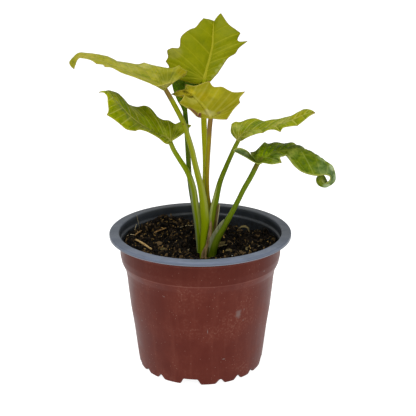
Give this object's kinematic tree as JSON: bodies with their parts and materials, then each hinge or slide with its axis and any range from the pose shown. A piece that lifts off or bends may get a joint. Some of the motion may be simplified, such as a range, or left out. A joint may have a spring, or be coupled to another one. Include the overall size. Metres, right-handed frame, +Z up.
{
  "type": "potted xanadu philodendron",
  "caption": "Young philodendron with lobed, glossy leaves on slender stalks, growing from dark potting mix in a thin, tapered nursery pot with a flat rim and a notched foot.",
  "frame": {"origin": "centre of the pot's foot ring, on the surface that the pot stands on", "axes": "+Z up along the pot's axis, -Y towards the front of the plant, +X to the right as seen from the front"},
  "size_m": [0.1664, 0.12, 0.2293],
  "materials": {
    "pot_plastic": "two-colour thin moulded plastic, terracotta brown outside and blue-grey on the rim and inside, satin",
    "potting_mix": "moist, crumbly, very dark brown peat and bark",
    "leaf_olive": "waxy yellow-green leaf with pale veins, semi-gloss",
    "leaf_green": "waxy mid-green leaf with pale veins, semi-gloss",
    "leaf_dark": "waxy dark green leaf, semi-gloss",
    "dry_sheath": "dry papery tan sheath",
    "straw": "dry bleached stalk fibre"
  },
  "bodies": {
    "root": {"pot": "pot_plastic", "potting_soil": "potting_mix", "leaf_upper_left": "leaf_olive", "leaf_top": "leaf_olive", "leaf_lower_left": "leaf_green", "leaf_front": "leaf_olive", "leaf_upper_right": "leaf_green", "leaf_lower_right": "leaf_green", "leaf_back": "leaf_dark", "sheath_front": "dry_sheath", "sheath_right": "dry_sheath", "straw_stick": "straw", "twig_left": "straw", "twig_back": "straw"}
  },
  "joints": []
}
